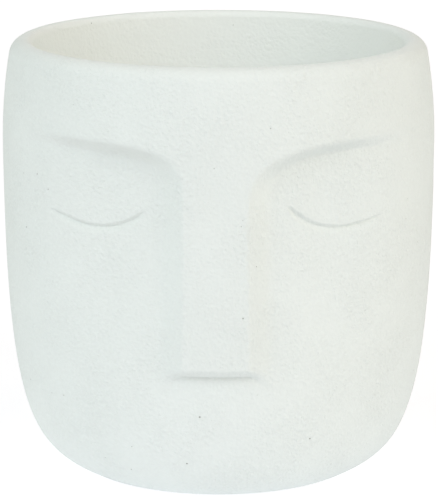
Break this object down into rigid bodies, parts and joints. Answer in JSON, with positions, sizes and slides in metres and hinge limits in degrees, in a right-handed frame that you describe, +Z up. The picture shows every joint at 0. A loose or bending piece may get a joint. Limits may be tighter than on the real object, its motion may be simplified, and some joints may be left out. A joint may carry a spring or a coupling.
{
  "type": "head planter",
  "caption": "Barrel-shaped cast planter with a calm relief face on its front, a rounded rim, a drain hole closed by a rubber plug, and foot pads.",
  "frame": {"origin": "on the pot's axis, in the plane that the foot pads rest on", "axes": "+Z up along the pot's axis, the face looks towards -Y, +X to the right of someone looking at the face"},
  "size_m": [0.15, 0.15, 0.152],
  "materials": {
    "cast_body": "cast cement painted matte white, fine sandy grain with a few pinholes",
    "plug_rubber": "soft matt black rubber",
    "pad_rubber": "milky soft rubber"
  },
  "bodies": {
    "pot_body": {"pot": "cast_body", "foot_pad_1": "pad_rubber", "foot_pad_2": "pad_rubber", "foot_pad_3": "pad_rubber", "foot_pad_4": "pad_rubber"},
    "plug": {"drain_plug": "plug_rubber"}
  },
  "joints": [
    {"name": "plug_lift", "type": "slide", "parent": "pot_body", "child": "plug", "axis": [0, 0, 1], "range_m": [0, 0.16]}
  ]
}
